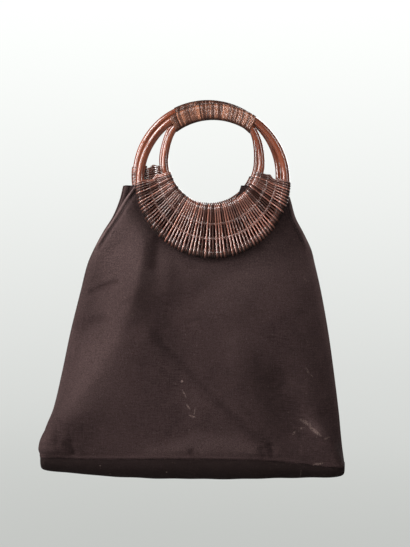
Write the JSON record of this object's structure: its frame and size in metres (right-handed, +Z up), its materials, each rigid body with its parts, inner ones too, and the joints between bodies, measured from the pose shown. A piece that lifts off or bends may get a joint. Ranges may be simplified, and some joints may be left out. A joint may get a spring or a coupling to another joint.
{
  "type": "canvas handbag",
  "caption": "Tapered canvas handbag with a boxed, sagging bottom gusset and round cane ring handles woven with wicker crescents.",
  "frame": {"origin": "where the bag hangs: midway between the two handles, level with the underside of the front grip", "axes": "+Z up, +X to the right seen from the front, -Y towards the front"},
  "size_m": [0.36, 0.06, 0.4491],
  "materials": {
    "canvas": "matt brown cotton canvas",
    "gusset_canvas": "matt dark brown cotton canvas",
    "cane": "glossy stained cane",
    "wicker": "satin stained wicker strands",
    "binding_cane": "streaky split cane binding"
  },
  "bodies": {
    "root": {"front_panel": "canvas", "back_panel": "canvas", "base_gusset": "gusset_canvas", "front_outer_ring": "cane", "front_inner_ring": "cane", "front_woven_crescent": "wicker", "front_grip_wrap": "binding_cane", "back_outer_ring": "cane", "back_inner_ring": "cane", "back_woven_crescent": "wicker", "back_grip_wrap": "binding_cane"}
  },
  "joints": []
}
